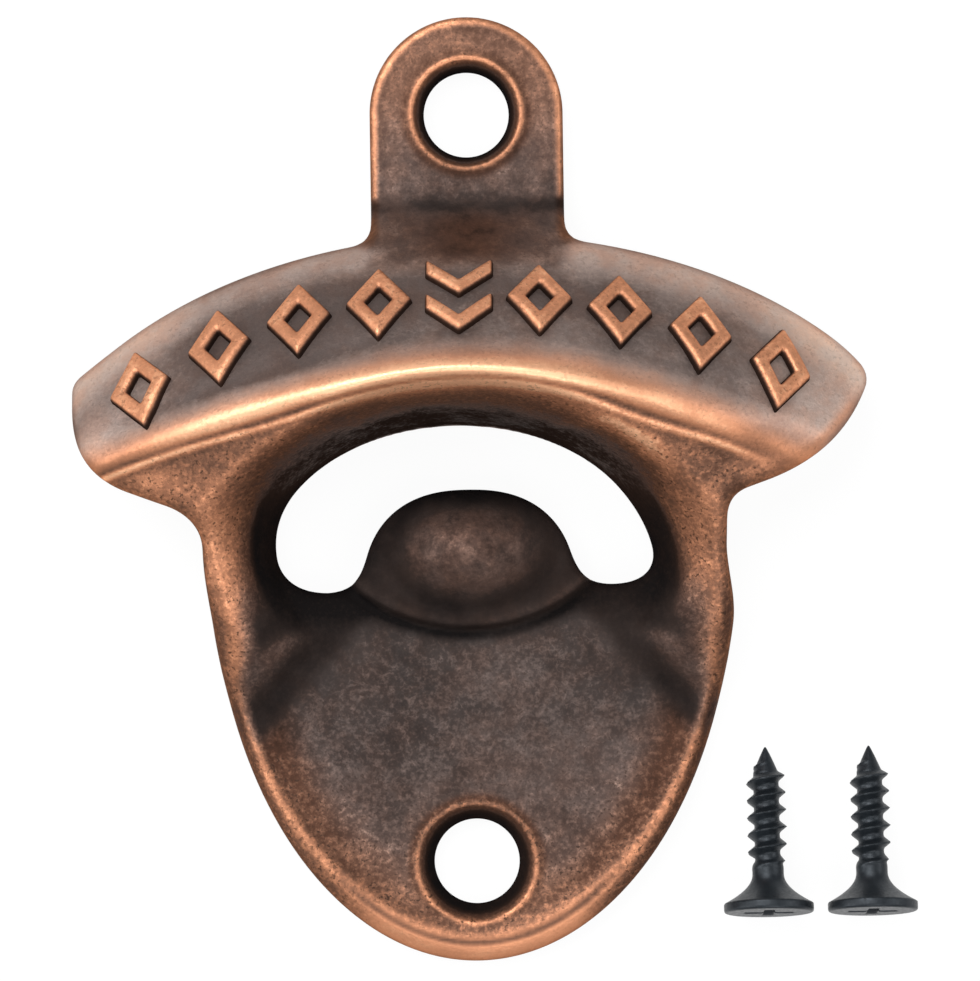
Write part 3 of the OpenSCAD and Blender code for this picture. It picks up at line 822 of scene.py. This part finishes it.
def plate_finish(x, y):
    """Tone, haze, speckle and patches over the plate, its rim, the feet of the posts and the tongue."""
    edge = -outline_distance(x, y)
    low = fall(y, -38.0, -20.0)
    flank = rise(np.abs(x), 8.0, 13.0)
    rim = fall(edge / rim_width(y), 2.6, 4.4)
    face = 0.225 + 0.13 * low + 0.07 * bump(edge - 4.5, 2.5)
    tone = blend(face, rim_tone(x, y, edge, low, flank), rim)
    haze = blend(0.85 - 0.5 * low, 0.0, fall(edge, 3.0, 7.0))

    crease = crease_distance(x, y)
    foot_tone, stripe = post_foot_tone(x, y, edge, crease)
    foot = rise(crease - 0.6 * right_half(x), -2.9, -0.8)
    tone = blend(tone - 0.06 * rise(crease, -6.0, -2.0), foot_tone, foot)
    haze = blend(haze, 0.5 * (1.0 - stripe), foot)

    inside = brim_distance(x, y)
    # Painted shadow: a dark line on the plate just outside the tongue's brim, under its edge.
    tone = tone - 0.1 * bump(inside + 0.6, 0.8) - 0.14 * bump(inside + 0.3, 0.35)
    dome = fall(dome_share(x, y), 0.15, 0.8)
    # The tongue is dark patina, with painted shade at its top edge, which faces up into the pocket, and
    # painted highlights on the brim's bead and over the dome.
    tongue_tone = (0.07 + 0.06 * bump(inside - 0.9, 0.5) + 0.20 * dome) * fall(y, -2.4, -0.2)
    tongue = rise(inside, -0.2, 0.3) * fall(np.abs(x), 11.5, 12.5)
    tone = blend(tone, tongue_tone, tongue)
    haze = blend(haze, 0.45, tongue)

    by_crescent = fall(crescent_distance(x, y), 0.6, 3.2) * (1.0 - tongue)
    polish = (1.0 - flank) * low * fall(edge, 1.8, 2.6)
    speckle = 1.0 - 0.4 * tongue - 0.85 * polish
    patches = 0.5 + 0.5 * tongue - 0.3 * polish
    return blend(tone, 0.0, by_crescent), haze, speckle, patches


def tab_finish(x, y):
    """Tone, haze, speckle and patches over the tab and its neck."""
    edge = -outline_distance(x, y)
    tab = rise(y, 24.6, 25.4)
    low = fall(y, 25.0, 36.0)
    patch = bump(x, 7.0) ** 2 * fall(y, 22.5, 25.0) * rise(y, 16.5, 19.5)
    # The neck has a dark patch in the middle and painted shadow just under the tab's crease.
    neck = 0.35 - 0.07 * patch - 0.14 * bump(y - 24.4, 0.8)
    face = 0.46 - 0.15 * low + 0.36 * bump(edge - 0.4, 0.3) - 0.06 * bump(edge - 1.0, 0.25)
    haze = blend(0.6 - 0.6 * patch, 0.1 + 0.55 * low, tab) * rise(edge, 0.4, 1.0)
    return blend(neck, face, tab), haze, 0.4 + 0.2 * tab, 1.0 - 0.4 * tab


def finish_maps(x, y, front):
    """Maps of the finish over the casting's front: tone, haze, speckle and patches."""
    on_tongue = rise(brim_distance(x, y), -0.3, 0.0) * fall(y, 0.0, 1.0) * fall(np.abs(x), 11.5, 12.5)
    on_plate = smooth_max(fall(y, -12.5, -5.5), on_tongue, 0.1)
    tab_half = blend(6.5, 9.0, rise(y, 20.0, 22.5))
    on_tab = rise(y - mark_line(x), 2.0, 4.5) * fall(np.abs(x), tab_half, tab_half + 3.0)
    maps = []
    for hood, plate, tab in zip(hood_finish(x, y), plate_finish(x, y), tab_finish(x, y)):
        maps.append(blend(blend(hood, plate, on_plate), tab, on_tab))
    tone, haze, speckle, patches = maps

    relief = 0.3 * np.tanh((front - blurred(front, 0.6)) / 0.12)
    relief = np.where(relief < 0.0, relief * (1.0 - 0.7 * on_plate), relief)
    tone = tone + relief * rise(tone, 0.1, 0.4)
    for hole_y, sink_r in SINKS:
        away = np.hypot(x, y - hole_y)
        lip = 0.10 * bump(away - sink_r + 0.1, 0.32)
        tone = blend(tone + lip, 0.0, fall(away, sink_r - 1.0, sink_r - 0.3))
        haze = haze * rise(away, sink_r + 0.4, sink_r + 1.2)
    return tone, haze, speckle, patches


def casting_finish(points):
    """The finish at points of the casting: as on the front, darker down the sides and plain behind."""
    axes = [np.arange(body_low[d] - MAP_MARGIN, body_high[d] + MAP_MARGIN, MAP_STEP) for d in (0, 1)]
    x, y = np.meshgrid(*axes, indexing="ij")
    front = casting_heights(x, y)[0]
    tone, *others = [sampled(m, axes, points) for m in finish_maps(x, y, front)]
    below = sampled(front, axes, points) - points[:, 2]
    beside_holes = np.hypot(points[:, 0], np.abs(points[:, 1]) - HOLE_Y) >= SINK_R
    side = rise(below, 0.6, 2.0) * beside_holes
    tone = blend(tone, np.minimum(tone, EDGE_TONE), side)
    behind = rise(below, 2.0, 2.8) * beside_holes
    finish = {}
    for (key, plain), value in zip(REAR_FINISH.items(), (tone, *others)):
        finish[key] = blend(value, plain, behind)
    return finish


def make_casting(material):
    """The casting."""
    points, quads = surface_mesh(*casting_field())
    return make_object("cast_body", points, quads, material, casting_finish(points))


def lozenge_distance(u, v):
    """Distance outside a stroke that runs round a lozenge."""
    half_u = MARK_W / 2
    half_v = MARK_L / 2
    across = (np.abs(u) / half_u + np.abs(v) / half_v - 1.0) / math.hypot(1 / half_u, 1 / half_v)
    return np.abs(across + MARK_STROKE / 2) - MARK_STROKE / 2


def arrows_distance(u, v):
    """Distance outside two arrows, one under the other, that point down."""
    grade = (ARROW_RISE - ARROW_STROKE) / (MARK_W / 2)
    half = ARROW_STROKE / 2
    away = np.full(np.broadcast(u, v).shape, np.inf)
    for tip in (0.0, -MARK_L / 2):
        arm = (np.abs(v - tip - half - grade * np.abs(u)) - half) / math.hypot(1.0, grade)
        away = np.minimum(away, np.maximum(arm, np.abs(u) - MARK_W / 2))
    return away


def band_frame(x):
    """Place on the band of a mark at x, and its axes: along the row, up the band, out of it."""
    y = mark_line(x)
    step = 0.05
    dx = (band_height(x + step, y) - band_height(x - step, y)) / (2 * step)
    dy = (band_height(x, y + step) - band_height(x, y - step)) / (2 * step)
    out = np.array([-dx, -dy, 1.0])
    out /= np.linalg.norm(out)
    turn = MARK_TURN * (mark_line(x + step) - mark_line(x - step)) / (2 * step)
    right = np.array([1.0, turn, dx + dy * turn])
    right /= np.linalg.norm(right)
    return np.array([x, y, band_height(x, y)]), right, np.cross(out, right), out


def make_marks(material):
    """Raised marks as one mesh that follows the band: two arrows with lozenges on either side."""
    reach = (MARK_W / 2 + 1.0, MARK_L / 2 + 1.5, 2 * MARK_H)
    axes = [np.arange(-r, r + MARK_STEP, MARK_STEP) for r in reach]
    u, v = np.meshgrid(axes[0], axes[1], indexing="ij")
    height = axes[2][None, None, :]
    all_points, all_quads, all_tones = [], [], []
    count = 0
    for i in range(-MARK_SIDE_COUNT, MARK_SIDE_COUNT + 1):
        shape = lozenge_distance if i else arrows_distance
        side = shape(u, v)[:, :, None] + MARK_DRAFT * height
        points, quads = surface_mesh(smooth_max(side, np.abs(height) - MARK_H, MARK_ROUND), axes)
        place, right, up, out = band_frame(MARK_MIDDLE + i * MARK_PITCH)
        flat = place + points[:, :1] * right + points[:, 1:2] * up
        drop = (hood_height(flat[:, 0], flat[:, 1]) - flat[:, 2])[:, None] * out * out[2]
        all_points.append(flat + drop + points[:, 2:] * out)
        all_quads.append(quads + count)
        all_tones.append(blend(MARK_SIDE_TONE, MARK_FACE_TONE, rise(points[:, 2], 0.3, 0.72)))
        count += len(points)
    points = np.concatenate(all_points)
    quads = np.concatenate(all_quads)
    tone = np.concatenate(all_tones)
    even = np.full_like(tone, 0.5)
    finish = {"tone": tone, "haze": np.zeros_like(tone), "speckle": even, "patches": even}
    return make_object("raised_marks", points, quads, material, finish)


def screw_field():
    """Distance field of a screw along +Z, head at 0 and point at SCREW_L, with its axes."""
    step = SCREW_STEP
    side = np.arange(-HEAD_R - 3 * step, HEAD_R + 4 * step, step)
    along = np.arange(-3 * step, SCREW_L + 4 * step, step)
    x, y, s = np.meshgrid(side, side, along, indexing="ij")
    r = np.hypot(x, y)
    neck_end = HEAD_RIM + FLARE_L + NECK_L
    flare = np.clip((s - HEAD_RIM) / FLARE_L, 0.0, 1.0)
    head = NECK_R + (HEAD_R - NECK_R) * (1.0 - flare) ** FLARE_POWER
    head = np.where(s < HEAD_RIM, HEAD_R, head)
    slope = np.gradient(head, step, axis=2)
    head_field = (r - head) / np.sqrt(1.0 + slope ** 2)
    head_field = smooth_max(head_field, s - neck_end, NECK_END_ROUND)

    turn = s / THREAD_PITCH - np.arctan2(y, x) / (2.0 * math.pi)
    from_crest = np.abs(turn - np.round(turn)) * THREAD_PITCH
    start = np.clip((s - neck_end + THREAD_LEAD) / THREAD_PITCH, 0.0, 1.0)
    end = np.clip((SCREW_L - POINT_L - s) / THREAD_PITCH, 0.0, 1.0)
    crest = CORE_R + (THREAD_R - CORE_R) * start * end - THREAD_FLANK * from_crest
    taper = np.clip((SCREW_L - s) / TIP_L, 0.0, 1.0) ** TIP_POWER
    shank = smooth_max(crest, np.full_like(crest, CORE_R), THREAD_ROUND) * taper
    shank_field = smooth_max((r - shank) * THREAD_SLANT, s - SCREW_L, TIP_ROUND)
    shank_field = np.maximum(shank_field, neck_end - SHANK_OVERLAP - s)

    field = smooth_min(head_field, shank_field, SHANK_ROUND)
    field = smooth_max(field, -s, HEAD_ROUND)
    arm = RECESS_HALF * np.clip(1.0 - s / RECESS_DEPTH, 0.0, 1.0)
    slot_x = np.maximum(np.abs(x) - arm, np.abs(y) - RECESS_SLOT / 2)
    slot_y = np.maximum(np.abs(y) - arm, np.abs(x) - RECESS_SLOT / 2)
    recess = np.maximum(np.minimum(slot_x, slot_y), s - RECESS_DEPTH)
    return smooth_max(field, -recess, RECESS_ROUND), [side, side, along]


def make_screw(name, node, points, quads, material):
    """One screw, lying where its CAD node lies."""
    low, high = [[c / MM for c in corner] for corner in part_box(node)]
    lie = math.atan((HEAD_R - THREAD_R) / (SCREW_L - TIP_L - HEAD_RIM))
    lift = HEAD_RIM * math.sin(lie) + HEAD_R * math.cos(lie)
    turn = np.array(Matrix.Rotation(-math.pi / 2 - lie, 3, "X"))
    placed = points @ turn.T
    placed[:, 0] += (low[0] + high[0]) / 2
    placed[:, 1] += low[1] - placed[:, 1].min()
    placed[:, 2] += lift
    return make_object(name, placed, quads, material)


class Shader:
    """A material's node tree, with short calls that make and join its nodes."""

    def __init__(self, name):
        self.material = bpy.data.materials.new(name)
        self.material.use_nodes = True
        self.tree = self.material.node_tree
        self.bsdf = self.tree.nodes["Principled BSDF"]

    def put(self, socket, value):
        """Sets a socket, or links another socket to it."""
        if isinstance(value, bpy.types.NodeSocket):
            self.tree.links.new(value, socket)
        else:
            socket.default_value = value

    def set(self, name, value):
        """Sets or links one of the surface's own inputs."""
        self.put(self.bsdf.inputs[name], value)

    def node(self, kind, inputs=None, **settings):
        """A node with its settings and inputs."""
        made = self.tree.nodes.new(kind)
        for key, value in settings.items():
            setattr(made, key, value)
        for key, value in (inputs or {}).items():
            self.put(made.inputs[key], value)
        return made

    def attribute(self, name):
        """A value stored on the mesh's points."""
        return self.node("ShaderNodeAttribute", attribute_name=name).outputs["Fac"]

    def noise(self, size, detail=4.0, roughness=0.55, distortion=0.0):
        """Noise whose patches are about size millimetres across."""
        place = self.node("ShaderNodeTexCoord").outputs["Object"]
        inputs = {"Vector": place, "Scale": 1.0 / (size * MM), "Detail": detail,
                  "Roughness": roughness, "Distortion": distortion}
        return self.node("ShaderNodeTexNoise", inputs).outputs["Fac"]

    def spread(self, value, low, high, to_low=0.0, to_high=1.0):
        """A value carried from one range to another, smoothly and held within it."""
        inputs = {"Value": value, "From Min": low, "From Max": high, "To Min": to_low, "To Max": to_high}
        made = self.node("ShaderNodeMapRange", inputs, interpolation_type="SMOOTHSTEP")
        return made.outputs["Result"]

    def math(self, operation, a, b=0.0):
        """One arithmetic step."""
        return self.node("ShaderNodeMath", {0: a, 1: b}, operation=operation).outputs[0]

    def mix(self, share, a, b):
        """A colour between a and b."""
        made = self.node("ShaderNodeMix", {"Factor": share}, data_type="RGBA")
        self.put(made.inputs[6], a)
        self.put(made.inputs[7], b)
        return made.outputs[2]

    def ramp(self, value, stops):
        """A colour read from (place, red, green, blue) stops."""
        made = self.node("ShaderNodeValToRGB", {"Fac": value})
        elements = made.color_ramp.elements
        while len(elements) < len(stops):
            elements.new(1.0)
        for element, (place, *colour) in zip(elements, stops):
            element.position = place
            element.color = (*colour, 1.0)
        return made.outputs["Color"]

    def bump(self, height, depth, strength=1.0):
        """A bump of depth millimetres from a height between 0 and 1."""
        inputs = {"Height": height, "Distance": depth * MM, "Strength": strength}
        return self.node("ShaderNodeBump", inputs).outputs["Normal"]


def copper_material():
    """Antique copper: black in the hollows, brown patina, rubbed through to copper on what stands out; the
    tone and haze it reads also carry painted light, shade and sheen.
    """
    s = Shader("antique_copper")
    cloud = s.noise(9.0, 4.0, 0.55)
    mottle = s.noise(1.8, 5.0, 0.6)
    fleck = s.noise(0.42, 4.0, 0.65)
    grain = s.noise(0.2, 2.0, 0.5)
    base = s.attribute("tone")
    film_and_sheen = s.attribute("haze")
    lit = s.spread(base, 0.05, 0.40, 0.15, 1.0)
    speckle = s.math("MULTIPLY", s.attribute("speckle"), lit)
    patches = s.math("MULTIPLY", s.attribute("patches"), lit)

    fine = s.math("MULTIPLY", s.spread(fleck, 0.40, 0.76, -0.05, 0.16), speckle)
    coarse = s.math("MULTIPLY", s.spread(mottle, 0.25, 0.75, -0.12, 0.12), patches)
    level = s.math("ABSOLUTE", s.math("SUBTRACT", s.noise(1.5, 2.0, 0.5, 0.8), 0.5))
    broken = s.spread(s.noise(0.9, 2.0, 0.5), 0.46, 0.62)
    thread = s.math("MULTIPLY", s.spread(level, 0.0, 0.04, 0.14, 0.0), broken)
    thread = s.math("MULTIPLY", thread, s.math("MULTIPLY", speckle, film_and_sheen))
    tone = s.math("ADD", s.math("ADD", base, fine), s.math("ADD", coarse, thread))
    tone = s.math("ADD", tone, s.spread(cloud, 0.3, 0.7, -0.04, 0.04))

    # The haze mixes in the grey film's colours: partly a real oxide film, partly a painted grey sheen.
    haze = s.math("MULTIPLY", film_and_sheen, s.spread(s.noise(2.8, 4.0, 0.6), 0.35, 0.65, 0.7, 1.0))
    colour = s.mix(haze, s.ramp(tone, COPPER_COLOURS), s.ramp(tone, FILM_AND_SHEEN_COLOURS))
    pits = s.spread(s.noise(0.32, 2.0, 0.5), 0.56, 0.66)
    pits = s.math("MULTIPLY", pits, s.spread(mottle, 0.35, 0.60, 0.15, 0.75))
    s.set("Base Color", s.mix(s.math("MULTIPLY", pits, speckle), colour, PIT_COLOUR))
    s.set("Metallic", s.spread(tone, 0.12, 0.42, 0.0, 0.92))
    s.set("Specular IOR Level", s.spread(tone, 0.12, 0.42, 0.0, 0.3))
    s.set("Specular Tint", COPPER_TINT)
    worn = s.spread(tone, 0.1, 1.0, 0.60, 0.48)
    s.set("Roughness", s.math("ADD", worn, s.spread(grain, 0.2, 0.8, -0.05, 0.07)))
    height = s.math("ADD", s.math("MULTIPLY", grain, 0.5), fleck)
    s.set("Normal", s.bump(height, 0.06, 0.6))
    return s.material


def screw_material():
    """Black phosphate: blue-black, satin, a little greyer in patches."""
    s = Shader("black_phosphate")
    cloud = s.noise(2.5, 4.0, 0.6)
    grain = s.noise(0.25, 3.0, 0.6)
    s.set("Base Color", s.mix(cloud, SCREW_DARK, SCREW_PALE))
    s.set("Metallic", 0.55)
    s.set("Roughness", s.spread(grain, 0.25, 0.75, 0.34, 0.50))
    s.set("Normal", s.bump(grain, 0.03, 0.5))
    return s.material


def floor_material():
    """White floor that shows as white to the camera and in reflections, and keeps part of the shadow."""
    s = Shader("white_floor")
    s.set("Base Color", FLOOR_COLOUR)
    s.set("Roughness", 0.9)
    s.set("Specular IOR Level", 0.1)
    path = s.node("ShaderNodeLightPath")
    seen = s.math("MAXIMUM", path.outputs["Is Camera Ray"], path.outputs["Is Glossy Ray"])
    seen = s.math("MAXIMUM", seen, path.outputs["Is Transmission Ray"])
    glow = s.node("ShaderNodeEmission", {"Color": WHITE, "Strength": 1.0})
    share = s.math("MULTIPLY", seen, FLOOR_GLOW)
    surface = s.node("ShaderNodeMixShader", {0: share, 1: s.bsdf.outputs[0], 2: glow.outputs[0]})
    s.put(s.tree.nodes["Material Output"].inputs["Surface"], surface.outputs[0])
    return s.material


def make_floor():
    """Plain pale floor just under the part."""
    corners = np.array([[-1, -1], [1, -1], [1, 1], [-1, 1]]) * FLOOR_HALF / MM
    points = np.column_stack([corners, np.full(4, -FLOOR_DROP)])
    floor = make_object("floor", points, np.array([[0, 1, 2, 3]]), floor_material())


def make_camera():
    """Camera straight above the part, at the photograph's scale, place and roll."""
    data = bpy.data.cameras.new("camera")
    data.sensor_fit = "HORIZONTAL"
    data.sensor_width = SENSOR_W
    data.lens = SENSOR_W * CAMERA_DISTANCE / (PHOTO_W * PHOTO_SCALE)
    data.clip_start = 0.01
    data.clip_end = 20.0
    right = (PHOTO_W / 2 - PHOTO_ORIGIN[0]) * PHOTO_SCALE
    down = (PHOTO_H / 2 - PHOTO_ORIGIN[1]) * PHOTO_SCALE
    x = right * math.cos(PHOTO_ROLL) - down * math.sin(PHOTO_ROLL)
    y = -right * math.sin(PHOTO_ROLL) - down * math.cos(PHOTO_ROLL)
    camera = bpy.data.objects.new("camera", data)
    camera.location = (x * MM, y * MM, (CAMERA_DISTANCE + PLATE_T / 2) * MM)
    camera.rotation_euler = (0.0, 0.0, -PHOTO_ROLL)
    bpy.context.scene.collection.objects.link(camera)
    bpy.context.scene.camera = camera


def make_lamp(name, place, size, power):
    """A square soft lamp that faces the part."""
    data = bpy.data.lights.new(name, "AREA")
    data.size = size
    data.energy = power
    lamp = bpy.data.objects.new(name, data)
    lamp.location = place
    lamp.rotation_euler = (-Vector(place)).to_track_quat("-Z", "Y").to_euler()
    bpy.context.scene.collection.objects.link(lamp)


def make_light():
    """Soft studio light: a broad lamp up and left, weaker ones below, left and right, and a dim room."""
    for lamp in LAMPS:
        make_lamp(*lamp)
    world = bpy.data.worlds.new("room")
    world.use_nodes = True
    back = world.node_tree.nodes["Background"]
    back.inputs["Color"].default_value = ROOM_COLOUR
    back.inputs["Strength"].default_value = ROOM_STRENGTH
    bpy.context.scene.world = world


copper = copper_material()
casting = make_casting(copper)
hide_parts("opener_body")
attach(casting, "casting")

marks = make_marks(copper)
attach(marks, "casting")

screw_points, screw_quads = surface_mesh(*screw_field())
screw_finish = screw_material()
for side in ("left", "right"):
    screw = make_screw("wood_screw_" + side, "screw_" + side, screw_points, screw_quads, screw_finish)
    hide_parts("screw_" + side)
    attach(screw, side + "_screw")

make_floor()
make_camera()
make_light()
bpy.context.scene.view_settings.view_transform = "Standard"
